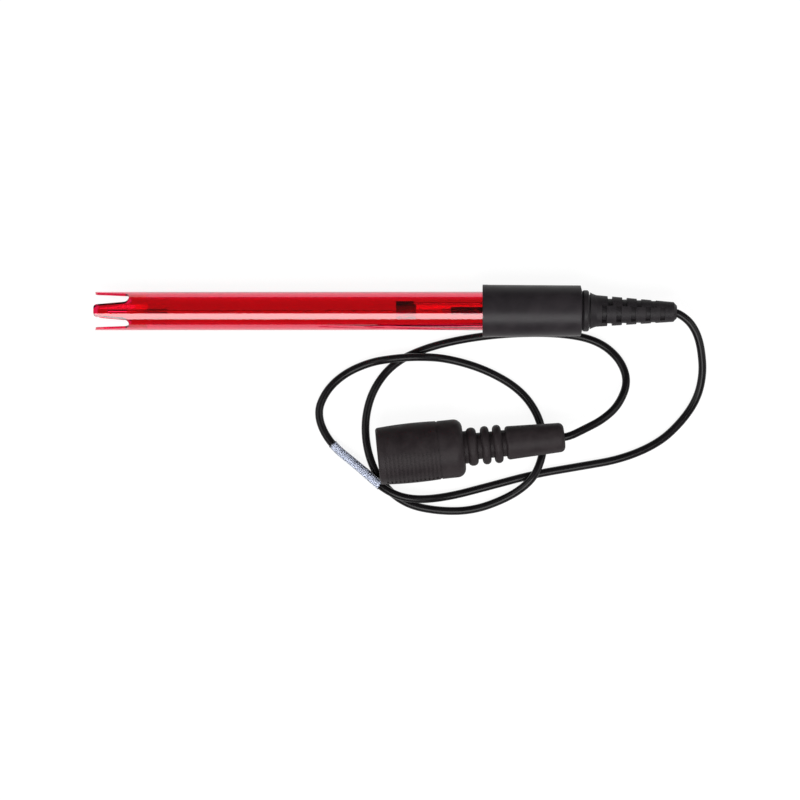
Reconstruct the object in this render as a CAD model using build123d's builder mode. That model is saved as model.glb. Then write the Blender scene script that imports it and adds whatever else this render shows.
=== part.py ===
from build123d import *
import os
from math import asin, cos, degrees, radians, sin, tan

# Redox probe: a tinted guard tube with its glass stem and platinum pin, a sleeve cap with a
# ribbed strain relief, and a lead that ends in a bayonet plug under a bellows boot.
# It lies as it comes to rest, on its prong tips, the rim of its cap and the belly of the boot.
# Millimetres. The origin is on the tube's axis at the cap's front face. +X points from the
# probe's tip to its lead, +Z is up.

# Guard tube
tube_r = 6.0
tube_reach = 120.0
tube_bore_r = 4.35
guard_bore_r = 5.1
guard_depth = 16.0
spigot_r = 5.7
spigot_length = 18.0
notch_count = 4
notch_length = 10.8
notch_mouth = 5.4
notch_root = 3.5
prong_round = 1.0

# Sensor end
end_plug_length = 6.0
stem_r = 2.0
stem_bore_r = 1.2
stem_proud = 9.5
stem_dome = 1.6
pin_r = 0.5
pin_proud = 2.8
pin_length = 6.0
junction_r = 0.8
junction_drop = 3.1
junction_proud = 0.3

# Inside the tube, measured forward of the cap's front face
bung_front = 26.7
bung_back = 20.6
bung_r = 2.45
bung_groove_at = 24.9
bung_groove_width = 0.7
bung_groove_r = 2.1
bung_socket = 2.8
wire_r = 0.25
silver_across = 2.1
silver_up = 2.65
silver_sink = 8.0
pellet_r = 0.6
pellet_length = 5.5
gel_back = 13.5
bubble_front = 53.0
bubble_back = 28.0
bubble_depth = 1.2
core_front = 12.4
lead_front = 9.7
potting_front = 1.0
potting_length = 14.0

# Cap
cap_r = 8.15
cap_rear_r = 7.88
cap_length = 30.8
cap_lip = 0.06
cap_lip_width = 1.2
cap_bevel_along = 0.45
cap_bevel_down = 1.5
cap_cavity_r = 5.5
cap_rear_wall = 4.4
seal_at = 3.6
seal_wire_r = 0.5

# Strain relief
relief_plug_r = 4.8
relief_head_r = 5.3
relief_head_length = 2.0
collar_r = 6.4
collar_width = 2.1
collar_round = 0.7
relief_neck_r = 5.0
relief_neck_width = 0.35
relief_root_r = 5.7
relief_waist_r = 4.9
relief_waist_at = 4.4
relief_tail_r = 3.0
relief_length = 27.15
relief_chamfer = 1.0
relief_flare = 2.2
relief_flare_r = 1.85
relief_bend = 0.8
relief_bend_r = 40.0
slot_roll = 15.0
slot_pitch = 4.5
slot_width = 1.5
side_slot_at = 6.4
side_slots = 4
side_slot_arc = 110.0
side_slot_depth = 0.75
side_slot_loss = 0.17
face_slot_at = 4.6
face_slots = 5
face_slot_arc = 76.0
face_slot_depth = 1.25
face_slot_loss = 0.13

# Lead
lead_r = 1.25
core_r = 0.75
label_from = 141.6
label_length = 19.4
label_film = 0.06
label_wrap = 285.0
sleeve_from = 141.3
sleeve_length = 20.0
sleeve_wall = 0.12
sleeve_gap = 0.13

# Boot, measured back from its mouth
boot_length = 57.6
grip_mouth_r = 8.8
grip_belly_r = 9.27
grip_belly_at = 11.0
grip_barrel_end = 19.0
grip_length = 26.4
grip_shoulder = 2.7
mouth_round = 0.9
mouth_lip = 0.4
mouth_bore_r = 7.4
mouth_depth = 4.4
boot_wire_way_r = 3.0
boot_cavity_r = 5.2
boot_cavity_end = 24.0
groove_count = 14
groove_first = 2.0
groove_pitch = 1.28
groove_width = 0.55
groove_depth = 0.3
groove_arc = 72.0
ring_groove_depth = 0.2
panel_arc = 40.0
panel_groove_depth = 0.08
boot_neck_r = 5.05
boot_neck_end = 28.2
fold_valley_r = 4.1
fold_crest_r = 5.95
fold_first = 28.95
fold_second = 33.15
fold_pitch = 3.75
fold_first_width = 3.2
fold_width = 2.7
tail_start = 39.4
tail_root_r = 5.25
tail_end_r = 4.5
tail_round = 1.6
tail_root_round = 1.0
tail_bore_start = 41.0

# Bayonet plug, measured back from the boot's mouth
nut_front = 4.5
nut_length = 13.5
nut_collar_r = 6.4
nut_collar_length = 7.0
nut_r = 7.2
nut_bore_r = 4.95
nut_web_front = 15.0
nut_web = 1.9
nut_flutes = 16
nut_flute_r = 0.7
nut_flute_depth = 0.25
cam_slot_width = 2.3
cam_slot_r = 5.85
cam_slot_depth = 5.2
cam_turn = 80.0
contact_front = 6.0
contact_r = 4.05
contact_wall = 0.5
contact_slit = 0.5
contact_slit_length = 5.0
flange_front = 12.5
flange_r = 4.78
flange_width = 1.2
body_r = 4.0
body_end = 22.0
insulator_front = 8.2
insulator_nose_r = 2.35
insulator_seat = 11.4
insulator_r = 3.35
insulator_end = 19.9
contact_pin_r = 0.68
contact_pin_front = 6.6
contact_pin_point = 0.6
pin_barrel_r = 0.95
pin_barrel_start = 16.0
pin_barrel_end = 19.6
crimp_stem_r = 2.0
crimp_stem_end = 29.0
ferrule_start = 22.6
ferrule_end = 33.0
ferrule_r = 2.6
ferrule_tail_r = 1.9
gasket_width = 0.85
slip_washer_width = 0.25
spring_washer_width = 0.25
spring_washer_bow = 0.5
snap_ring_width = 0.6
snap_ring_r = 4.7
snap_groove_r = 3.55
snap_ring_gap = 45.0

# Fits
fixed_fit = 0.05
running_fit = 0.08
end_gap = 0.05

# Where the plug lies: its mouth, and how far the plug is turned from +X towards +Y
mouth_x = -32.0
mouth_y = -45.0
plug_turn = 5.94

dip = asin((cap_r - tube_r) / tube_reach)
floor_z = -cap_r
probe = Plane(origin=(0, 0, 0), x_dir=(cos(dip), 0, sin(dip)), z_dir=(-sin(dip), 0, cos(dip)))
plug_heading = Vector(cos(radians(plug_turn)), sin(radians(plug_turn)), 0)
plug = Plane(
    origin=(mouth_x, mouth_y, floor_z + grip_belly_r), x_dir=plug_heading, z_dir=(0, 0, 1)
)
guard_step = guard_depth - tube_reach
relief_front = cap_length + end_gap
relief_body = relief_front + collar_width
relief_end = cap_length + relief_length + collar_width
flare_start = relief_end - relief_flare

# The relief's taper hangs a little to the right, towards the lead
bend_point = probe.origin + probe.x_dir * relief_body
bent_heading = probe.x_dir * cos(radians(relief_bend)) - probe.y_dir * sin(radians(relief_bend))
bent = Plane(origin=bend_point - bent_heading * relief_body, x_dir=bent_heading, z_dir=probe.z_dir)


def axis_of(plane):
    """The centre line of what is turned on a plane."""
    return Axis(plane.origin, plane.x_dir)


def turned_plane(plane, angle):
    """The plane turned about its own X axis by an angle in degrees."""
    normal = plane.z_dir * cos(radians(angle)) - plane.y_dir * sin(radians(angle))
    return Plane(origin=plane.origin, x_dir=plane.x_dir, z_dir=normal)


def turn(plane, outline, mode=Mode.ADD, arc=360.0):
    """Turns an outline of (along, radius) points about the plane's X axis."""
    with BuildSketch(plane) as profile:
        with BuildLine():
            Polyline(*outline, close=True)
        make_face()
    revolve(profile.sketch, axis=axis_of(plane), revolution_arc=arc, mode=mode)


def turn_ring(plane, start, end, inner, outer, mode=Mode.ADD, arc=360.0):
    """Turns a plain ring, or a disc where the inner radius is 0."""
    turn(plane, [(start, inner), (end, inner), (end, outer), (start, outer)], mode, arc)


def turn_rounded(plane, centre, width, outer, corner):
    """Turns a disc whose rim has round corners."""
    with BuildSketch(plane) as profile:
        with Locations((centre, 0)):
            RectangleRounded(width, 2 * outer, corner)
        with Locations((centre, -outer)):
            Rectangle(2 * width, 2 * outer, mode=Mode.SUBTRACT)
    revolve(profile.sketch, axis=axis_of(plane))


def rod(plane, start, end, radius, across=0.0, up=0.0, mode=Mode.ADD):
    """A straight round rod along the plane's X axis, or beside it."""
    centre = plane.origin + plane.x_dir * start + plane.y_dir * across + plane.z_dir * up
    with BuildSketch(Plane(origin=centre, z_dir=plane.x_dir)) as section:
        Circle(radius)
    extrude(section.sketch, amount=end - start, mode=mode)


def inner_lead(start, outer, inner=0.0, mode=Mode.ADD):
    """Sweeps a ring or a disc along the lead's run inside the probe and its relief."""
    first = probe.origin + probe.x_dir * start
    with BuildLine() as run:
        FilletPolyline(
            first, bend_point, bent.origin + bent.x_dir * flare_start, radius=relief_bend_r
        )
    with BuildSketch(Plane(origin=first, z_dir=probe.x_dir)) as section:
        Circle(outer)
        if inner:
            Circle(inner, mode=Mode.SUBTRACT)
    sweep(section.sketch, path=run.wires()[0], mode=mode)


def save(piece, label):
    """Labels a finished piece and writes its file."""
    piece.part.label = label
    export_step(piece.part, f"parts/{label}.step")


# Guard tube, with four prongs round the sensor
with BuildPart() as guard_tube:
    turn(
        probe,
        [
            (-tube_reach, guard_bore_r),
            (-tube_reach, tube_r),
            (0, tube_r),
            (0, spigot_r),
            (spigot_length, spigot_r),
            (spigot_length, tube_bore_r),
            (guard_step, tube_bore_r),
            (guard_step, guard_bore_r),
        ],
    )
    for notch in range(notch_count):
        facing = turned_plane(probe, 45 + notch * 360 / notch_count)
        tip = Plane(facing.origin - facing.x_dir * tube_reach, facing.x_dir, facing.z_dir)
        with BuildSketch(tip) as cutter:
            with BuildLine():
                Polyline(
                    (-1, -tube_r),
                    (0, -tube_r),
                    (0, -notch_mouth / 2),
                    (notch_length, -notch_root / 2),
                    (notch_length, notch_root / 2),
                    (0, notch_mouth / 2),
                    (0, tube_r),
                    (-1, tube_r),
                    close=True,
                )
            make_face()
            mouth_corners = cutter.vertices().group_by(Axis.X)[1].sort_by(Axis.Y)[1:-1]
            fillet(mouth_corners, prong_round)
            fillet(cutter.vertices().group_by(Axis.X)[-1], notch_root / 2 * 0.95)
        extrude(cutter.sketch, amount=2 * tube_r, mode=Mode.SUBTRACT)
save(guard_tube, "guard_tube")

# End plug that closes the bore and carries the stem and the junction
end_plug_back = guard_step + end_plug_length
with BuildPart() as end_plug:
    turn_ring(probe, guard_step, end_plug_back, stem_r + fixed_fit, tube_bore_r - fixed_fit)
    rod(
        probe,
        guard_step - 1,
        end_plug_back + 1,
        junction_r + fixed_fit,
        up=-junction_drop,
        mode=Mode.SUBTRACT,
    )
save(end_plug, "end_plug")

# Porous junction through the end plug
with BuildPart() as junction:
    rod(probe, guard_step - junction_proud, end_plug_back, junction_r, up=-junction_drop)
save(junction, "porous_junction")

# Glass stem, domed and closed round the platinum pin
stem_tip = guard_step - stem_proud
stem_end = -bung_front + bung_socket
pin_front = stem_tip - pin_proud
pin_back = pin_front + pin_length
with BuildPart() as stem:
    with BuildSketch(probe) as stem_profile:
        with BuildLine():
            dome = Spline(
                (stem_tip, 0),
                (stem_tip + 0.3 * stem_dome, 0.7 * stem_r),
                (stem_tip + stem_dome, stem_r),
                tangents=((0, 1), (1, 0)),
            )
            Line(dome @ 1, (stem_end, stem_r))
            Line((stem_end, stem_r), (stem_end, 0))
            Line((stem_end, 0), dome @ 0)
        make_face()
    revolve(stem_profile.sketch, axis=axis_of(probe))
    rod(probe, pin_back, stem_end + 1, stem_bore_r, mode=Mode.SUBTRACT)
    rod(probe, stem_tip - 1, pin_back + 1, pin_r + end_gap, mode=Mode.SUBTRACT)
save(stem, "glass_stem")

# Platinum pin, the measuring metal
with BuildPart() as platinum:
    rod(probe, pin_front, pin_back, pin_r)
    fillet(platinum.edges().sort_by(Axis.X)[0], pin_r * 0.6)
save(platinum, "platinum_pin")

# Signal wire from the platinum pin to the lead's core
with BuildPart() as signal_wire:
    rod(probe, pin_back + end_gap, -core_front - end_gap, wire_r)
save(signal_wire, "signal_wire")

# Bung on the stem's end, with a groove between its two lands
with BuildPart() as bung:
    turn_ring(probe, -bung_front, -bung_back, wire_r + fixed_fit, bung_r)
    rod(probe, -bung_front, stem_end + end_gap, stem_r + fixed_fit, mode=Mode.SUBTRACT)
    turn_ring(
        probe,
        -bung_groove_at - bung_groove_width / 2,
        -bung_groove_at + bung_groove_width / 2,
        bung_groove_r,
        bung_r + 1,
        Mode.SUBTRACT,
    )
save(bung, "stem_bung")

# Silver wire and its chloride pellet, the reference half cell
pellet_front = -bung_front
with BuildPart() as silver_wire:
    rod(probe, pellet_front + 1, silver_sink, wire_r, across=silver_across, up=silver_up)
save(silver_wire, "silver_wire")

with BuildPart() as pellet:
    rod(probe, pellet_front, pellet_front + pellet_length, pellet_r, silver_across, silver_up)
    rod(
        probe,
        pellet_front + 1 - end_gap,
        pellet_front + pellet_length + 1,
        wire_r + end_gap,
        silver_across,
        silver_up,
        Mode.SUBTRACT,
    )
save(pellet, "reference_pellet")

# Electrolyte gel round the stem, with a flat air bubble along its top
gel_front = end_plug_back + end_gap
gel_r = tube_bore_r - fixed_fit
bubble_half = (bubble_front - bubble_back) / 2
bubble_arc_r = (bubble_half**2 + bubble_depth**2) / (2 * bubble_depth)
with BuildPart() as gel:
    turn(
        probe,
        [
            (gel_front, stem_r + fixed_fit),
            (-bung_front - end_gap, stem_r + fixed_fit),
            (-bung_front - end_gap, bung_r + fixed_fit),
            (-bung_back + end_gap, bung_r + fixed_fit),
            (-bung_back + end_gap, wire_r + fixed_fit),
            (-gel_back, wire_r + fixed_fit),
            (-gel_back, gel_r),
            (gel_front, gel_r),
        ],
    )
    rod(
        probe,
        pellet_front - end_gap,
        pellet_front + pellet_length + end_gap,
        pellet_r + fixed_fit,
        silver_across,
        silver_up,
        Mode.SUBTRACT,
    )
    rod(probe, pellet_front, 0, wire_r + fixed_fit, silver_across, silver_up, Mode.SUBTRACT)
    with BuildSketch(Plane(probe.origin, probe.x_dir, -probe.y_dir)) as bubble:
        with Locations((-bubble_back - bubble_half, gel_r - bubble_depth + bubble_arc_r)):
            Circle(bubble_arc_r)
    extrude(bubble.sketch, amount=tube_r, both=True, mode=Mode.SUBTRACT)
save(gel, "electrolyte_gel")

# Lead inside the probe: its insulated core and its jacket
with BuildPart() as lead_core:
    inner_lead(-core_front, core_r)
save(lead_core, "lead_core")

with BuildPart() as lead_jacket:
    inner_lead(-lead_front, lead_r, core_r + fixed_fit)
save(lead_jacket, "lead_jacket")

# Potting that seals the tube behind the lead's end
with BuildPart() as potting:
    turn_ring(
        probe,
        potting_front,
        potting_front + potting_length,
        lead_r + fixed_fit,
        tube_bore_r - fixed_fit,
    )
    rod(
        probe,
        potting_front - 1,
        silver_sink + end_gap,
        wire_r + fixed_fit,
        silver_across,
        silver_up,
        Mode.SUBTRACT,
    )
save(potting, "potting_plug")

# Cap: a sleeve over the tube's spigot, with a seal groove and a rear wall for the relief
spigot_hole_r = spigot_r + fixed_fit
relief_hole_r = relief_plug_r + fixed_fit
cavity_front = spigot_length + end_gap
rear_wall_front = cap_length - cap_rear_wall
seal_groove_r = spigot_r + 2 * seal_wire_r + 2 * end_gap
seal_groove_half = seal_wire_r + 0.1
with BuildPart() as cap:
    turn(
        probe,
        [
            (end_gap, spigot_hole_r),
            (end_gap, cap_r),
            (cap_lip_width, cap_r),
            (2 * cap_lip_width, cap_r - cap_lip),
            (cap_length - cap_bevel_along, cap_rear_r),
            (cap_length, cap_rear_r - cap_bevel_down),
            (cap_length, relief_hole_r),
            (rear_wall_front, relief_hole_r),
            (rear_wall_front, cap_cavity_r),
            (cavity_front, cap_cavity_r),
            (cavity_front, spigot_hole_r),
        ],
    )
    turn_ring(
        probe,
        seal_at - seal_groove_half,
        seal_at + seal_groove_half,
        spigot_r,
        seal_groove_r,
        Mode.SUBTRACT,
    )
save(cap, "cap")

# Seal ring between the cap and the tube's spigot
with BuildPart() as seal_ring:
    with BuildSketch(probe) as seal_section:
        with Locations((seal_at, spigot_r + end_gap + seal_wire_r)):
            Circle(seal_wire_r)
    revolve(seal_section.sketch, axis=axis_of(probe))
save(seal_ring, "seal_ring")

# Strain relief: a head behind the cap's wall, a collar bead and a slotted taper
relief_head_back = rear_wall_front - end_gap
waist_x = relief_front + relief_waist_at
taper = (relief_waist_r - relief_tail_r) / (relief_end - waist_x)


def relief_r(along):
    """Radius of the relief's taper."""
    return relief_waist_r - taper * (along - waist_x)


def slots(facing, arc, first, count, depth, loss):
    """Cuts a row of slots into two opposite sides of the taper, rolled to face that angle."""
    for number in range(count):
        middle = relief_body + first + number * slot_pitch
        bottom = relief_r(middle) - depth + number * loss
        for side in (facing, facing + 180):
            turn_ring(
                turned_plane(bent, side - arc / 2),
                middle - slot_width / 2,
                middle + slot_width / 2,
                bottom,
                relief_root_r,
                Mode.SUBTRACT,
                arc,
            )


with BuildPart() as relief:
    turn_ring(
        probe, relief_head_back - relief_head_length, relief_head_back, 0, relief_head_r
    )
    turn_ring(probe, relief_head_back, relief_front, 0, relief_plug_r)
    turn_rounded(probe, relief_front + collar_width / 2, collar_width, collar_r, collar_round)
    turn_ring(bent, relief_body - 0.2, relief_body + relief_neck_width, 0, relief_neck_r)
    body_start = relief_body + relief_neck_width
    with BuildSketch(bent) as taper_profile:
        with BuildLine():
            flare = ThreePointArc(
                (body_start, relief_root_r),
                ((body_start + waist_x) / 2, 0.4 * relief_root_r + 0.6 * relief_waist_r),
                (waist_x, relief_waist_r),
            )
            Line(flare @ 1, (relief_end, relief_tail_r))
            Line((relief_end, relief_tail_r), (relief_end, 0))
            Line((relief_end, 0), (body_start, 0))
            Line((body_start, 0), flare @ 0)
        make_face()
        outer_corner = taper_profile.vertices().group_by(Axis.X)[-1].sort_by(Axis.Y)[-1]
        chamfer(outer_corner, relief_chamfer)
    revolve(taper_profile.sketch, axis=axis_of(bent))
    slots(slot_roll, side_slot_arc, side_slot_at, side_slots, side_slot_depth, side_slot_loss)
    slots(slot_roll + 90, face_slot_arc, face_slot_at, face_slots, face_slot_depth, face_slot_loss)
    inner_lead(0, lead_r + fixed_fit, mode=Mode.SUBTRACT)
    turn(
        bent,
        [
            (flare_start - 0.1, 0),
            (flare_start - 0.1, lead_r + fixed_fit),
            (flare_start, lead_r + fixed_fit),
            (relief_end, relief_flare_r),
            (relief_end, 0),
        ],
        Mode.SUBTRACT,
    )
save(relief, "strain_relief")

# Boot: a barrel grip with fine grooves, three bellows folds and a tapered tail
nut_pocket_end = nut_front + nut_length + 3 * fixed_fit
tail_hole_r = lead_r + running_fit


def barrel_r(along):
    """Radius of the grip's barrel, a shallow parabola about its belly."""
    return grip_belly_r - (grip_belly_r - grip_mouth_r) * ((along - grip_belly_at) / grip_belly_at) ** 2


def grooves(middle, depth, start, arc):
    """Cuts a groove over an arc of the barrel's top and the same arc of its underside.

    The arc starts at an angle from straight up, counted towards the left, and runs to the right.
    """
    for side in (start, start + 180):
        turn_ring(
            turned_plane(plug, 90 - side),
            middle - groove_width / 2,
            middle + groove_width / 2,
            barrel_r(middle) - depth,
            grip_belly_r + 1,
            Mode.SUBTRACT,
            arc,
        )


with BuildPart() as boot:
    with BuildSketch(plug) as grip_profile:
        with BuildLine():
            stations = (-mouth_lip, grip_belly_at / 2, grip_belly_at, 15.0, grip_barrel_end)
            barrel = Spline(*[(x, barrel_r(x)) for x in stations])
            Polyline(
                barrel @ 1,
                (grip_length, barrel_r(grip_barrel_end)),
                (grip_length, 0),
                (-mouth_lip, 0),
                barrel @ 0,
            )
        make_face()
        rim = grip_profile.vertices().group_by(Axis.X)[0].sort_by(Axis.Y)[-1]
        fillet(rim, mouth_round)
        shoulder = grip_profile.vertices().group_by(Axis.X)[-1].sort_by(Axis.Y)[-1]
        fillet(shoulder, grip_shoulder)
    revolve(grip_profile.sketch, axis=axis_of(plug))
    turn_ring(plug, grip_length - 1, boot_neck_end, 0, boot_neck_r)
    turn_ring(plug, boot_neck_end, tail_start + 1, 0, fold_valley_r)
    turn_rounded(plug, fold_first, fold_first_width, fold_crest_r, 0.45 * fold_first_width)
    for fold in range(2):
        centre = fold_second + fold * fold_pitch
        turn_rounded(plug, centre, fold_width, fold_crest_r, 0.48 * fold_width)
    with BuildSketch(plug) as tail_profile:
        with BuildLine():
            Polyline(
                (tail_start, 0),
                (tail_start, tail_root_r),
                (boot_length, tail_end_r),
                (boot_length, 0),
                close=True,
            )
        make_face()
        tail_rim = tail_profile.vertices().group_by(Axis.X)[-1].sort_by(Axis.Y)[-1]
        fillet(tail_rim, tail_round)
        tail_root = tail_profile.vertices().group_by(Axis.X)[0].sort_by(Axis.Y)[-1]
        fillet(tail_root, tail_root_round)
    revolve(tail_profile.sketch, axis=axis_of(plug))
    turn(
        plug,
        [
            (-1, 0),
            (-1, mouth_bore_r),
            (mouth_depth, mouth_bore_r),
            (mouth_depth, nut_r + fixed_fit),
            (nut_pocket_end, nut_r + fixed_fit),
            (nut_pocket_end, boot_cavity_r),
            (boot_cavity_end, boot_cavity_r),
            (boot_cavity_end, boot_wire_way_r),
            (tail_bore_start, boot_wire_way_r),
            (tail_bore_start + boot_wire_way_r - tail_hole_r, tail_hole_r),
            (boot_length + 1, tail_hole_r),
            (boot_length + 1, 0),
        ],
        Mode.SUBTRACT,
    )
    for groove in range(groove_count):
        middle = groove_first + groove * groove_pitch
        grooves(middle, groove_depth, 0, groove_arc)
        grooves(middle, panel_groove_depth, panel_arc, panel_arc)
    grooves(middle, ring_groove_depth, 0, 180)
save(boot, "connector_boot")

# Bayonet nut: two cam slots at the front, a fluted grip and an inner web
nut_end = nut_front + nut_length
with BuildPart() as nut:
    turn(
        plug,
        [
            (nut_front, nut_bore_r),
            (nut_front, nut_collar_r),
            (nut_front + nut_collar_length, nut_collar_r),
            (nut_front + nut_collar_length, nut_r),
            (nut_end, nut_r),
            (nut_end, nut_bore_r),
            (nut_web_front + nut_web, nut_bore_r),
            (nut_web_front + nut_web, body_r + running_fit),
            (nut_web_front, body_r + running_fit),
            (nut_web_front, nut_bore_r),
        ],
    )
    for side in (0, 180):
        entry = turned_plane(plug, side)
        with BuildSketch(entry) as slot:
            with Locations((nut_front + cam_slot_depth / 2 - 0.5, 0)):
                Rectangle(cam_slot_depth + 1, cam_slot_width)
        extrude(slot.sketch, amount=cam_slot_r, mode=Mode.SUBTRACT)
        turn_ring(
            turned_plane(plug, side - 90),
            nut_front + cam_slot_depth - cam_slot_width,
            nut_front + cam_slot_depth,
            nut_bore_r - 0.5,
            cam_slot_r,
            Mode.SUBTRACT,
            cam_turn,
        )
    flute_start = nut_front + nut_collar_length - 1
    for flute in range(nut_flutes):
        angle = radians(flute * 360 / nut_flutes)
        reach = nut_r + nut_flute_r - nut_flute_depth
        rod(
            plug,
            flute_start,
            nut_end + 1,
            nut_flute_r,
            reach * cos(angle),
            reach * sin(angle),
            Mode.SUBTRACT,
        )
save(nut, "bayonet_nut")

# Plug body: slit contact sleeve, flange, neck with a ring groove, and the crimp stem
snap_ring_front = nut_web_front + nut_web + 3 * end_gap
snap_ring_back = snap_ring_front + snap_ring_width
core_hole_r = core_r + fixed_fit
insulator_hole_r = insulator_r + fixed_fit
with BuildPart() as plug_body:
    turn(
        plug,
        [
            (contact_front, contact_r - contact_wall),
            (contact_front, contact_r),
            (flange_front, contact_r),
            (flange_front, flange_r),
            (flange_front + flange_width, flange_r),
            (flange_front + flange_width, body_r),
            (snap_ring_front - end_gap, body_r),
            (snap_ring_front - end_gap, snap_groove_r),
            (snap_ring_back + end_gap, snap_groove_r),
            (snap_ring_back + end_gap, body_r),
            (body_end, body_r),
            (body_end, crimp_stem_r),
            (crimp_stem_end, crimp_stem_r),
            (crimp_stem_end, core_hole_r),
            (insulator_end + end_gap, core_hole_r),
            (insulator_end + end_gap, insulator_hole_r),
            (insulator_seat - end_gap, insulator_hole_r),
            (insulator_seat - end_gap, contact_r - contact_wall),
        ],
    )
    for side in (45, 135):
        with BuildSketch(turned_plane(plug, side)) as slit:
            with Locations((contact_front + contact_slit_length / 2 - 0.5, 0)):
                Rectangle(contact_slit_length + 1, contact_slit)
        extrude(slit.sketch, amount=contact_r + 1, both=True, mode=Mode.SUBTRACT)
save(plug_body, "plug_body")

# Insulator with a nose round the contact pin
pin_hole_r = contact_pin_r + fixed_fit
with BuildPart() as insulator:
    turn(
        plug,
        [
            (insulator_front, pin_hole_r),
            (insulator_front, insulator_nose_r),
            (insulator_seat, insulator_nose_r),
            (insulator_seat, insulator_r),
            (insulator_end, insulator_r),
            (insulator_end, pin_barrel_r + fixed_fit),
            (pin_barrel_start, pin_barrel_r + fixed_fit),
            (pin_barrel_start, pin_hole_r),
        ],
    )
save(insulator, "insulator")

# Contact pin with its crimp barrel
with BuildPart() as contact_pin:
    turn(
        plug,
        [
            (contact_pin_front, 0),
            (contact_pin_front, contact_pin_r - contact_pin_point / 2),
            (contact_pin_front + contact_pin_point, contact_pin_r),
            (pin_barrel_start + end_gap, contact_pin_r),
            (pin_barrel_start + end_gap, pin_barrel_r),
            (pin_barrel_end, pin_barrel_r),
            (pin_barrel_end, 0),
        ],
    )
save(contact_pin, "contact_pin")

# Face gasket in front of the flange
with BuildPart() as gasket:
    turn_ring(
        plug,
        flange_front - end_gap - gasket_width,
        flange_front - end_gap,
        contact_r + fixed_fit,
        flange_r,
    )
save(gasket, "face_gasket")

# Slip washer, bowed spring washer and snap ring that hold the nut on the body
washer_bore_r = body_r + fixed_fit
slip_washer_back = flange_front + flange_width + end_gap + slip_washer_width
with BuildPart() as slip_washer:
    turn_ring(plug, slip_washer_back - slip_washer_width, slip_washer_back, washer_bore_r, flange_r)
save(slip_washer, "slip_washer")

spring_washer_front = slip_washer_back + 2 * end_gap
spring_washer_back = spring_washer_front + spring_washer_width + spring_washer_bow
bow_r = (flange_r**2 + spring_washer_bow**2) / (2 * spring_washer_bow)
with BuildPart() as spring_washer:
    turn_ring(plug, spring_washer_front, spring_washer_back, washer_bore_r, flange_r)
    with BuildSketch(plug) as bow:
        with Locations((spring_washer_front + bow_r, 0)):
            Circle(bow_r)
            Circle(bow_r - spring_washer_width, mode=Mode.SUBTRACT)
    extrude(bow.sketch, amount=2 * flange_r, both=True, mode=Mode.INTERSECT)
save(spring_washer, "spring_washer")

with BuildPart() as snap_ring:
    turn_ring(
        plug,
        snap_ring_front,
        snap_ring_back,
        snap_groove_r + fixed_fit,
        snap_ring_r,
        arc=360 - snap_ring_gap,
    )
save(snap_ring, "snap_ring")

# Crimp ferrule over the stem and the lead's jacket
ferrule_neck = crimp_stem_end + 4 * end_gap
with BuildPart() as ferrule:
    turn(
        plug,
        [
            (ferrule_start, crimp_stem_r + fixed_fit),
            (ferrule_start, ferrule_r),
            (ferrule_neck, ferrule_r),
            (ferrule_neck + ferrule_r - ferrule_tail_r, ferrule_tail_r),
            (ferrule_end, ferrule_tail_r),
            (ferrule_end, lead_r + fixed_fit),
            (ferrule_neck, lead_r + fixed_fit),
            (ferrule_neck, crimp_stem_r + fixed_fit),
        ],
    )
save(ferrule, "crimp_ferrule")

# Lead inside the boot: its insulated core and its jacket
with BuildPart() as plug_core:
    rod(plug, pin_barrel_end + end_gap, boot_length, core_r)
save(plug_core, "plug_lead_core")

with BuildPart() as plug_jacket:
    turn_ring(plug, ferrule_neck + end_gap, boot_length, core_r + fixed_fit, lead_r)
save(plug_jacket, "plug_lead_jacket")

# Free lead: its route as (x, y, height of its centre over the floor), chosen by hand
relief_exit = bent.origin + bent.x_dir * flare_start
boot_exit = plug.origin + plug.x_dir * boot_length
first_run = 1.7
last_run = 1.6
route = [
    (61.9, -1.6, 9.05),
    (64.4, -3.7, 8.75),
    (66.6, -7.3, 7.9),
    (68.0, -12.3, 6.4),
    (68.75, -19.5, 3.9),
    (67.15, -27.2, 1.9),
    (62.5, -34.2, 1.3),
    (55.3, -41.0, 1.25),
    (43.7, -46.05, 1.25),
    (30.0, -48.4, 1.25),
    (16.0, -50.8, 1.25),
    (1.9, -54.6, 1.25),
    (-11.2, -58.0, 1.35),
    (-21.8, -58.7, 4.2),
    (-29.7, -56.1, 4.5),
    (-38.4, -48.3, 3.4),
    (-47.6, -41.0, 1.8),
    (-51.6, -32.0, 1.25),
    (-48.55, -24.6, 1.25),
    (-42.8, -19.3, 1.25),
    (-35.1, -15.9, 1.7),
    (-28.0, -14.7, 4.1),
    (-19.9, -14.1, 4.1),
    (-10.5, -14.6, 1.5),
    (1.6, -18.2, 1.25),
    (12.3, -24.5, 1.25),
    (18.2, -33.1, 1.4),
    (19.4, -42.2, 2.2),
    (17.8, -48.3, 4.1),
    (14.9, -53.2, 4.1),
    (8.35, -58.0, 1.6),
    (-2.5, -62.1, 1.25),
    (-13.6, -62.3, 1.25),
    (-24.2, -60.0, 1.25),
    (-31.8, -53.1, 1.25),
    (-35.75, -44.0, 1.25),
    (-36.6, -33.8, 1.25),
    (-33.9, -24.0, 1.25),
    (-27.4, -15.9, 1.25),
    (-17.2, -11.2, 1.25),
    (-4.5, -8.25, 1.25),
    (9.7, -6.7, 1.25),
    (24.4, -6.7, 1.25),
    (35.65, -8.8, 1.25),
    (42.8, -14.3, 1.6),
    (45.6, -21.7, 3.4),
    (42.4, -29.15, 6.2),
    (37.2, -33.7, 8.3),
    (31.8, -36.45, 9.2),
]
points = [relief_exit, relief_exit + bent.x_dir * first_run]
points += [Vector(x, y, floor_z + height) for x, y, height in route]
points += [boot_exit + plug.x_dir * last_run, boot_exit]
runs = [(after - before).length for before, after in zip(points, points[1:])]
turns = [
    (here - before).get_angle(after - here)
    for before, here, after in zip(points, points[1:], points[2:])
]
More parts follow.
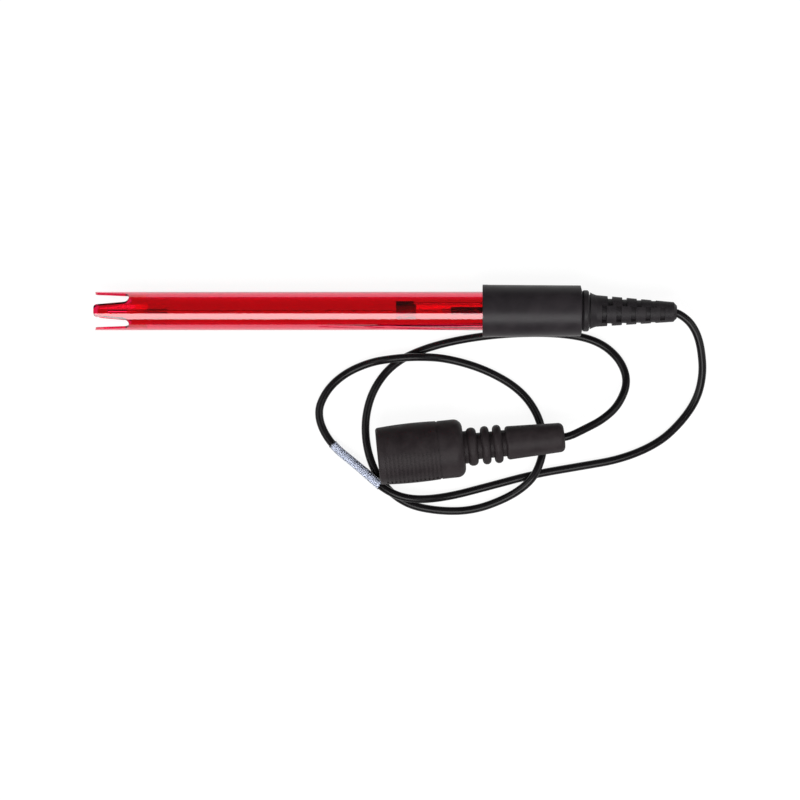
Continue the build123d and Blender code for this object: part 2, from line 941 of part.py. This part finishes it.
radii = [
    0.45 * min(before, after) / tan(radians(angle / 2))
    for before, after, angle in zip(runs, runs[1:], turns)
]
with BuildPart() as lead:
    with BuildLine() as lead_path:
        FilletPolyline(*points, radius=radii)
    with BuildSketch(Plane(origin=relief_exit, z_dir=bent.x_dir)):
        Circle(lead_r)
    sweep()
save(lead, "lead")

lead_length = sum(edge.length for edge in lead_path.edges())
section = 3.141592653589793 * lead_r**2
print("lead radii", " ".join(f"{radius:.1f}" for radius in radii))
print(f"lead runs {min(runs):.1f} to {max(runs):.1f}, length {lead_length:.1f}")
print(f"lead volume {lead.part.volume:.2f}, section times length {section * lead_length:.2f}")

# Bare label film and its clear sleeve, bent along the same stretch of the lead
lead_wire = lead_path.wires()[0]
label_inner = lead_r + fixed_fit


def along_lead(start, length, inner, outer, gap=0.0):
    """Sweeps a ring along a stretch of the lead, open by an angle on its left side."""
    stretch = lead_wire.trim(start / lead_length, (start + length) / lead_length)
    face = Plane(origin=stretch @ 0, x_dir=(0, 0, 1), z_dir=stretch % 0)
    with BuildSketch(face) as section:
        Circle(outer)
        Circle(inner, mode=Mode.SUBTRACT)
        if gap:
            reach = 2 * outer
            half = reach * tan(radians(gap / 2))
            with BuildLine():
                Polyline((0, 0), (half, reach), (-half, reach), close=True)
            make_face(mode=Mode.SUBTRACT)
    sweep(section.sketch, path=stretch)


with BuildPart() as label:
    along_lead(label_from, label_length, label_inner, label_inner + label_film, 360 - label_wrap)
save(label, "label_film")

sleeve_inner = lead_r + sleeve_gap
with BuildPart() as sleeve:
    along_lead(sleeve_from, sleeve_length, sleeve_inner, sleeve_inner + sleeve_wall)
save(sleeve, "label_sleeve")
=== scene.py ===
import bpy
from math import cos, radians, sin
from mathutils import Matrix, Vector


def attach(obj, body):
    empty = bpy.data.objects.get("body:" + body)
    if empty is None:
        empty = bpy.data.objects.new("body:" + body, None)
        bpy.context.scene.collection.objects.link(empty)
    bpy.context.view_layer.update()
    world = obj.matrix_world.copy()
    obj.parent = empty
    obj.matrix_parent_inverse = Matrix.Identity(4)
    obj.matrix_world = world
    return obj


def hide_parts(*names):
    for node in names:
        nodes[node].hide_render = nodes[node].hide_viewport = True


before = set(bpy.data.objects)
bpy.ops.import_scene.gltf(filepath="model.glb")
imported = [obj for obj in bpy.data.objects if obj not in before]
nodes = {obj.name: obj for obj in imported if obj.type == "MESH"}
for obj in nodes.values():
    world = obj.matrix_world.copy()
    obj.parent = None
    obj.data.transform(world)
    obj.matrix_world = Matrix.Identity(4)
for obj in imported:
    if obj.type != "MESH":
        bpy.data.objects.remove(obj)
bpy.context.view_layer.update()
MM = 0.001

# The photograph looks straight down
IMAGE_WIDTH = 800
PIXELS_PER_MM = 3.23
CAMERA_HEIGHT = 0.9
CENTRE_X = -25.51 * MM
CENTRE_Y = -27.585 * MM
SENSOR = 36.0
CLIP_NEAR = 0.02
CLIP_FAR = 20.0

# What the part rests on
FLOOR_Z = -8.15 * MM
FLOOR_SIZE = 6.0
FLOOR_GREY = (0.14, 0.14, 0.14)
FLOOR_GLOW = 0.9
WORLD_LIGHT = 0.06

# Lead: its route as (x, y, height of its centre over the floor). The places were read off the photograph
# in pixels, turned into millimetres and then moved one by one. The first two and the last two were worked
# out from the axes of the strain relief and the plug.
LEAD_RADIUS = 1.25 * MM
LEAD_ROUTE = (
    (57.84, -0.35, 9.19),
    (59.54, -0.37, 9.22),
    (61.9, -1.6, 9.05),
    (64.4, -3.7, 8.75),
    (66.6, -7.3, 7.9),
    (68.0, -12.3, 6.4),
    (68.75, -19.5, 3.9),
    (67.15, -27.2, 1.9),
    (62.5, -34.2, 1.3),
    (55.3, -41.0, 1.25),
    (43.7, -46.05, 1.25),
    (30.0, -48.4, 1.25),
    (16.0, -50.8, 1.25),
    (1.9, -54.6, 1.25),
    (-11.2, -58.0, 1.35),
    (-21.8, -58.7, 4.2),
    (-29.7, -56.1, 4.5),
    (-38.4, -48.3, 3.4),
    (-47.6, -41.0, 1.8),
    (-51.6, -32.0, 1.25),
    (-48.55, -24.6, 1.25),
    (-42.8, -19.3, 1.25),
    (-35.1, -15.9, 1.7),
    (-28.0, -14.7, 4.1),
    (-19.9, -14.1, 4.1),
    (-10.5, -14.6, 1.5),
    (1.6, -18.2, 1.25),
    (12.3, -24.5, 1.25),
    (18.2, -33.1, 1.4),
    (19.4, -42.2, 2.2),
    (17.8, -48.3, 4.1),
    (14.9, -53.2, 4.1),
    (8.35, -58.0, 1.6),
    (-2.5, -62.1, 1.25),
    (-13.6, -62.3, 1.25),
    (-24.2, -60.0, 1.25),
    (-31.8, -53.1, 1.25),
    (-35.75, -44.0, 1.25),
    (-36.6, -33.8, 1.25),
    (-33.9, -24.0, 1.25),
    (-27.4, -15.9, 1.25),
    (-17.2, -11.2, 1.25),
    (-4.5, -8.25, 1.25),
    (9.7, -6.7, 1.25),
    (24.4, -6.7, 1.25),
    (35.65, -8.8, 1.25),
    (42.8, -14.3, 1.6),
    (45.6, -21.7, 3.4),
    (42.4, -29.15, 6.2),
    (37.2, -33.7, 8.3),
    (31.8, -36.45, 9.2),
    (26.88, -38.87, 9.27),
    (25.29, -39.04, 9.27),
)

# Label and its clear sleeve on the lead
LABEL_FROM = 141.6 * MM
LABEL_STEPS = 24
LABEL_LENGTH = 19.4 * MM
LABEL_INNER = 1.30 * MM
LABEL_OUTER = 1.36 * MM
LABEL_WRAP = 285.0
LABEL_FACING = 180.0
SLEEVE_FROM = 141.3 * MM
SLEEVE_STEPS = 40
SLEEVE_LENGTH = 20.0 * MM
SLEEVE_INNER = 1.38 * MM
SLEEVE_OUTER = 1.50 * MM
SLEEVE_DRAWN_IN = 0.05 * MM
SLEEVE_LIP_SHARE = 0.04


def over_floor(place):
    """A place in metres from (x, y, height over the floor) in millimetres."""
    x, y, height = place
    return Vector((x * MM, y * MM, height * MM + FLOOR_Z))


def shader(name):
    """A new material and its tree, Principled shader and object coordinates."""
    material = bpy.data.materials.new(name)
    material.use_nodes = True
    tree = material.node_tree
    principled = tree.nodes["Principled BSDF"]
    coordinates = tree.nodes.new("ShaderNodeTexCoord").outputs["Object"]
    return material, tree, principled, coordinates


def noise(tree, coordinates, size, detail=3.0, stretch=(1, 1, 1)):
    """Noise whose blobs are about size metres wide, drawn out by stretch."""
    mapping = tree.nodes.new("ShaderNodeMapping")
    mapping.inputs["Scale"].default_value = [1 / (size * s) for s in stretch]
    texture = tree.nodes.new("ShaderNodeTexNoise")
    texture.inputs["Scale"].default_value = 1.0
    texture.inputs["Detail"].default_value = detail
    tree.links.new(coordinates, mapping.inputs["Vector"])
    tree.links.new(mapping.outputs["Vector"], texture.inputs["Vector"])
    return texture.outputs["Fac"]


def ramp(tree, value, low, high, start=0.35, end=0.65):
    """Colours from low to high as value goes from start to end."""
    node = tree.nodes.new("ShaderNodeValToRGB")
    node.color_ramp.elements[0].position = start
    node.color_ramp.elements[0].color = (*low, 1)
    node.color_ramp.elements[1].position = end
    node.color_ramp.elements[1].color = (*high, 1)
    tree.links.new(value, node.inputs["Fac"])
    return node.outputs["Color"]


def span(tree, value, low, high, start=0.35, end=0.65):
    """Numbers from low to high as value goes from start to end."""
    node = tree.nodes.new("ShaderNodeMapRange")
    node.inputs["From Min"].default_value = start
    node.inputs["From Max"].default_value = end
    node.inputs["To Min"].default_value = low
    node.inputs["To Max"].default_value = high
    tree.links.new(value, node.inputs["Value"])
    return node.outputs["Result"]


def bump(tree, principled, height, depth):
    """Bump of that depth in metres."""
    node = tree.nodes.new("ShaderNodeBump")
    node.inputs["Strength"].default_value = 1.0
    node.inputs["Distance"].default_value = depth
    tree.links.new(height, node.inputs["Height"])
    tree.links.new(node.outputs["Normal"], principled.inputs["Normal"])


def moulded(name, dark, light, rough, grain, depth, patch=4 * MM, specular=0.5):
    """A moulded plastic or rubber: patchy colour and gloss, and a fine grain."""
    material, tree, principled, coordinates = shader(name)
    patches = noise(tree, coordinates, patch)
    tree.links.new(ramp(tree, patches, dark, light), principled.inputs["Base Color"])
    tree.links.new(span(tree, patches, rough[0], rough[1]), principled.inputs["Roughness"])
    principled.inputs["Specular IOR Level"].default_value = specular
    bump(tree, principled, noise(tree, coordinates, grain, 4.0), depth)
    return material


def metal(name, colour, rough, grain=0.25 * MM, stretch=(6, 1, 1)):
    """A drawn or turned metal with fine marks."""
    material, tree, principled, coordinates = shader(name)
    principled.inputs["Base Color"].default_value = (*colour, 1)
    principled.inputs["Metallic"].default_value = 1.0
    marks = noise(tree, coordinates, grain, 2.0, stretch)
    tree.links.new(span(tree, marks, rough * 0.8, rough * 1.3), principled.inputs["Roughness"])
    bump(tree, principled, marks, 0.002 * MM)
    return material


def clear(name, colour, ior, rough, coat=0.0, ripple=0.0, body=1.0):
    """A clear solid, tinted by its colour, with faint draw lines; body is its alpha."""
    material, tree, principled, coordinates = shader(name)
    principled.inputs["Base Color"].default_value = (*colour, 1)
    principled.inputs["Transmission Weight"].default_value = 1.0
    principled.inputs["IOR"].default_value = ior
    principled.inputs["Alpha"].default_value = body
    principled.inputs["Coat Weight"].default_value = coat
    principled.inputs["Coat IOR"].default_value = 1.55
    principled.inputs["Coat Roughness"].default_value = 0.02
    lines = noise(tree, coordinates, 2.5 * MM, 2.0, (14, 1, 1))
    tree.links.new(span(tree, lines, rough * 0.7, rough * 1.4), principled.inputs["Roughness"])
    if ripple:
        bump(tree, principled, lines, ripple)
    return material


def dress(material, *names):
    """Gives CAD nodes a material."""
    for name in names:
        for slot in nodes[name].material_slots:
            slot.link = "OBJECT"
            slot.material = material
        if not nodes[name].material_slots:
            nodes[name].data.materials.append(material)


# Looks of the CAD nodes, clear pieces first
tinted_tube = clear(
    "tinted_tube",
    colour=(0.76, 0.008, 0.058),
    ior=1.49,
    rough=0.02,
    coat=0.6,
    ripple=0.006 * MM,
)
dress(tinted_tube, "guard_tube")
dress(clear("clear_gel", (0.97, 0.94, 0.94), 1.02, 0.01, body=0.06), "electrolyte_gel")
dress(clear("stem_glass", (0.98, 0.97, 0.97), 1.1, 0.01, body=0.2), "glass_stem")
dress(clear("clear_resin", (0.96, 0.7, 0.7), 1.1, 0.05, body=0.3), "end_plug")

# Working parts of the cell
porous = moulded(
    "porous",
    dark=(0.75, 0.72, 0.66),
    light=(0.86, 0.84, 0.8),
    rough=(0.8, 0.95),
    grain=0.08 * MM,
    depth=0.02 * MM,
)
dress(porous, "porous_junction")
dress(metal("platinum", (0.78, 0.76, 0.73), 0.2), "platinum_pin")
dress(metal("silver", (0.72, 0.71, 0.68), 0.35), "silver_wire")
dress(metal("copper", (0.72, 0.42, 0.26), 0.3), "signal_wire")
chloride = moulded(
    "chloride",
    dark=(0.10, 0.07, 0.08),
    light=(0.2, 0.16, 0.17),
    rough=(0.7, 0.9),
    grain=0.1 * MM,
    depth=0.03 * MM,
)
dress(chloride, "reference_pellet")

# Rubber and potting inside
dark_rubber = moulded(
    "dark_rubber",
    dark=(0.012, 0.010, 0.011),
    light=(0.022, 0.019, 0.021),
    rough=(0.5, 0.65),
    grain=0.15 * MM,
    depth=0.01 * MM,
)
dress(dark_rubber, "seal_ring", "face_gasket")
tan_rubber = moulded(
    "tan_rubber",
    dark=(0.34, 0.26, 0.19),
    light=(0.46, 0.36, 0.27),
    rough=(0.5, 0.65),
    grain=0.3 * MM,
    depth=0.02 * MM,
    patch=1.2 * MM,
)
dress(tan_rubber, "stem_bung")
inner_grey = moulded(
    "inner_grey",
    dark=(0.10, 0.09, 0.11),
    light=(0.15, 0.135, 0.16),
    rough=(0.4, 0.5),
    grain=0.3 * MM,
    depth=0.006 * MM,
    patch=3 * MM,
)
potting = moulded(
    "potting",
    dark=(0.02, 0.018, 0.018),
    light=(0.035, 0.03, 0.03),
    rough=(0.35, 0.5),
    grain=0.3 * MM,
    depth=0.01 * MM,
)
dress(potting, "potting_plug")

# Black mouldings
cap_black = moulded(
    "cap_black",
    dark=(0.021, 0.018, 0.0205),
    light=(0.027, 0.023, 0.026),
    rough=(0.36, 0.44),
    grain=0.14 * MM,
    depth=0.008 * MM,
    patch=5 * MM,
    specular=0.16,
)
dress(cap_black, "cap")
relief_black = moulded(
    "relief_black",
    dark=(0.017, 0.015, 0.017),
    light=(0.023, 0.020, 0.022),
    rough=(0.45, 0.55),
    grain=0.16 * MM,
    depth=0.01 * MM,
    patch=3 * MM,
    specular=0.16,
)
dress(relief_black, "strain_relief")
boot_black = moulded(
    "boot_black",
    dark=(0.018, 0.0135, 0.015),
    light=(0.026, 0.0205, 0.022),
    rough=(0.5, 0.62),
    grain=0.2 * MM,
    depth=0.014 * MM,
    patch=3 * MM,
    specular=0.16,
)
dress(boot_black, "connector_boot")

# Plug
dress(metal("nickel", (0.66, 0.64, 0.6), 0.22), "bayonet_nut", "plug_body", "crimp_ferrule")
dress(metal("spring_steel", (0.5, 0.5, 0.5), 0.3), "slip_washer", "spring_washer", "snap_ring")
dress(metal("gold", (0.9, 0.66, 0.28), 0.2), "contact_pin")
white_insulator = moulded(
    "white_insulator",
    dark=(0.8, 0.79, 0.76),
    light=(0.88, 0.87, 0.85),
    rough=(0.35, 0.45),
    grain=0.2 * MM,
    depth=0.004 * MM,
)
dress(white_insulator, "insulator")

# Insides and jackets of the lead
core_plastic = moulded(
    "core_plastic",
    dark=(0.7, 0.68, 0.62),
    light=(0.78, 0.76, 0.7),
    rough=(0.3, 0.4),
    grain=0.3 * MM,
    depth=0.003 * MM,
)
dress(core_plastic, "lead_core", "plug_lead_core")
jacket_black = moulded(
    "jacket_black",
    dark=(0.005, 0.0043, 0.005),
    light=(0.008, 0.0072, 0.008),
    rough=(0.2, 0.27),
    grain=0.5 * MM,
    depth=0.004 * MM,
    patch=6 * MM,
    specular=0.15,
)
dress(jacket_black, "plug_lead_jacket")
dress(inner_grey, "lead_jacket")

# Lead
curve = bpy.data.curves.new("free_lead", "CURVE")
curve.dimensions = "3D"
curve.resolution_u = 12
curve.bevel_depth = LEAD_RADIUS
curve.bevel_resolution = 6
curve.use_fill_caps = True
spline = curve.splines.new("NURBS")
spline.points.add(len(LEAD_ROUTE) - 1)
for point, place in zip(spline.points, LEAD_ROUTE):
    point.co = (*over_floor(place), 1)
spline.order_u = 3
spline.use_endpoint_u = True
lead = bpy.data.objects.new("free_lead", curve)
bpy.context.collection.objects.link(lead)
curve.materials.append(jacket_black)
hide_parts("lead")
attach(lead, "probe")


def centre_line():
    """Points of the lead's own spline, read from it with no bevel."""
    bare = curve.copy()
    bare.bevel_depth = 0
    bare.use_fill_caps = False
    carrier = bpy.data.objects.new("centre_line", bare)
    bpy.context.collection.objects.link(carrier)
    bpy.context.view_layer.update()
    line = bpy.data.meshes.new_from_object(carrier)
    points = [vertex.co.copy() for vertex in line.vertices]
    bpy.data.objects.remove(carrier)
    bpy.data.curves.remove(bare)
    bpy.data.meshes.remove(line)
    return points


def stretch(points, start, length, count):
    """Count places and headings, evenly spread over a stretch of the line."""
    marks = [0.0]
    for before, after in zip(points, points[1:]):
        marks.append(marks[-1] + (after - before).length)
    places = []
    for step in range(count):
        mark = start + length * step / (count - 1)
        index = max(i for i in range(len(points) - 1) if marks[i] <= mark)
        share = (mark - marks[index]) / (marks[index + 1] - marks[index])
        place = points[index].lerp(points[index + 1], share)
        places.append((place, (points[index + 1] - points[index]).normalized()))
    return places


def wrap(name, places, radius_at, arc, facing, sides=40):
    """A thin wall round the line: radius_at(share) gives its (inner, outer) radius."""
    vertices = []
    faces = []
    closed = arc >= 360
    spokes = sides if closed else sides + 1
    for number, (place, heading) in enumerate(places):
        aside = heading.cross(Vector((0, 0, 1))).normalized()
        up = aside.cross(heading)
        inner, outer = radius_at(number / (len(places) - 1))
        for radius in (inner, outer):
            for spoke in range(spokes):
                angle = radians(facing + (360 - arc) / 2 + arc * spoke / sides)
                vertices.append(place + (aside * cos(angle) + up * sin(angle)) * radius)
    ring = 2 * spokes
    last = (len(places) - 1) * ring
    steps = range(sides)
    for number in range(len(places) - 1):
        base = number * ring
        for spoke in steps:
            after = (spoke + 1) % spokes
            faces.append((base + spoke, base + after, base + ring + after, base + ring + spoke))
            top = base + spokes
            faces.append((top + after, top + spoke, top + ring + spoke, top + ring + after))
        if not closed:
            end = spokes - 1
            faces.append((base, base + ring, base + ring + spokes, base + spokes))
            faces.append((base + end, base + spokes + end, base + ring + spokes + end, base + ring + end))
    for base, turned in ((0, False), (last, True)):
        for spoke in steps:
            after = (spoke + 1) % spokes
            face = (base + spoke, base + spokes + spoke, base + spokes + after, base + after)
            faces.append(face[::-1] if turned else face)
    mesh = bpy.data.meshes.new(name)
    mesh.from_pydata(vertices, [], faces)
    for polygon in mesh.polygons:
        polygon.use_smooth = True
    mesh.update()
    piece = bpy.data.objects.new(name, mesh)
    bpy.context.collection.objects.link(piece)
    return piece


line_points = centre_line()
label = wrap(
    "blank_label",
    stretch(line_points, LABEL_FROM, LABEL_LENGTH, LABEL_STEPS),
    lambda share: (LABEL_INNER, LABEL_OUTER),
    LABEL_WRAP,
    LABEL_FACING,
)
label_film = moulded(
    "label_film",
    dark=(0.53, 0.56, 0.66),
    light=(0.62, 0.64, 0.73),
    rough=(0.45, 0.6),
    grain=0.4 * MM,
    depth=0.004 * MM,
    patch=5 * MM,
)
label.data.materials.append(label_film)
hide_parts("label_film")
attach(label, "probe")


def sleeve_radius(share):
    """The sleeve's wall, drawn in a little at both ends."""
    lip = max(0.0, 1 - min(share, 1 - share) / SLEEVE_LIP_SHARE)
    return SLEEVE_INNER, SLEEVE_OUTER - SLEEVE_DRAWN_IN * lip


sleeve = wrap(
    "clear_sleeve",
    stretch(line_points, SLEEVE_FROM, SLEEVE_LENGTH, SLEEVE_STEPS),
    sleeve_radius,
    arc=360,
    facing=0,
)
sleeve.data.materials.append(clear("sleeve_clear", (0.93, 0.95, 0.99), 1.2, 0.12))
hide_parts("label_sleeve")
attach(sleeve, "probe")


# Floor
def seen_white(tree):
    """1 for rays that show the background: from the camera, through clear pieces, off gloss."""
    rays = tree.nodes.new("ShaderNodeLightPath").outputs
    shown = rays["Is Camera Ray"]
    for kind in ("Is Transmission Ray", "Is Glossy Ray"):
        either = tree.nodes.new("ShaderNodeMath")
        either.operation = "MAXIMUM"
        tree.links.new(shown, either.inputs[0])
        tree.links.new(rays[kind], either.inputs[1])
        shown = either.outputs[0]
    return shown


bpy.ops.mesh.primitive_plane_add(size=FLOOR_SIZE, location=(0, 0, FLOOR_Z))
floor = bpy.context.object
floor.name = "floor"
floor_material, floor_tree, floor_shader, _ = shader("pale_floor")
floor_shader.inputs["Base Color"].default_value = (*FLOOR_GREY, 1)
floor_shader.inputs["Roughness"].default_value = 0.9
floor_shader.inputs["Specular IOR Level"].default_value = 0.0
floor_shader.inputs["Emission Color"].default_value = (1, 1, 1, 1)
glow = floor_tree.nodes.new("ShaderNodeMath")
glow.operation = "MULTIPLY"
glow.inputs[1].default_value = FLOOR_GLOW
floor_tree.links.new(seen_white(floor_tree), glow.inputs[0])
floor_tree.links.new(glow.outputs[0], floor_shader.inputs["Emission Strength"])
floor.data.materials.append(floor_material)

# World: white behind the part, dim and even as a light
world = bpy.data.worlds.new("studio")
bpy.context.scene.world = world
world.use_nodes = True
world_tree = world.node_tree
backdrop = world_tree.nodes["Background"]
backdrop.inputs["Color"].default_value = (1, 1, 1, 1)
world_rays = world_tree.nodes.new("ShaderNodeLightPath").outputs
level = world_tree.nodes.new("ShaderNodeMapRange")
level.inputs["To Min"].default_value = WORLD_LIGHT
level.inputs["To Max"].default_value = 1.0
world_tree.links.new(world_rays["Is Camera Ray"], level.inputs["Value"])
world_tree.links.new(level.outputs["Result"], backdrop.inputs["Strength"])


def softbox(name, tilt, turn, distance, length, width, power):
    """An area light, tilted from straight above towards -Y and then turned about Z."""
    light = bpy.data.lights.new(name, "AREA")
    light.shape = "RECTANGLE"
    light.size = length
    light.size_y = width
    light.energy = power
    lamp = bpy.data.objects.new(name, light)
    bpy.context.collection.objects.link(lamp)
    aim = Vector((CENTRE_X, CENTRE_Y, 0))
    turned = Matrix.Rotation(radians(turn), 4, "Z") @ Matrix.Rotation(radians(tilt), 4, "X")
    lamp.matrix_world = Matrix.Translation(aim + turned @ Vector((0, 0, distance))) @ turned


softbox("strip", tilt=33, turn=0, distance=0.9, length=0.6, width=0.58, power=7.5)
softbox("side_right", tilt=50, turn=90, distance=1.2, length=1.0, width=1.0, power=6)
softbox("side_left", tilt=50, turn=-90, distance=1.2, length=1.0, width=1.0, power=6)

# Camera, straight above
camera_data = bpy.data.cameras.new("camera")
camera_data.sensor_width = SENSOR
camera_data.lens = SENSOR * CAMERA_HEIGHT / (IMAGE_WIDTH / PIXELS_PER_MM * MM)
camera_data.clip_start = CLIP_NEAR
camera_data.clip_end = CLIP_FAR
camera = bpy.data.objects.new("camera", camera_data)
camera.location = (CENTRE_X, CENTRE_Y, CAMERA_HEIGHT)
bpy.context.collection.objects.link(camera)
bpy.context.scene.camera = camera

bpy.context.scene.view_settings.view_transform = "Standard"
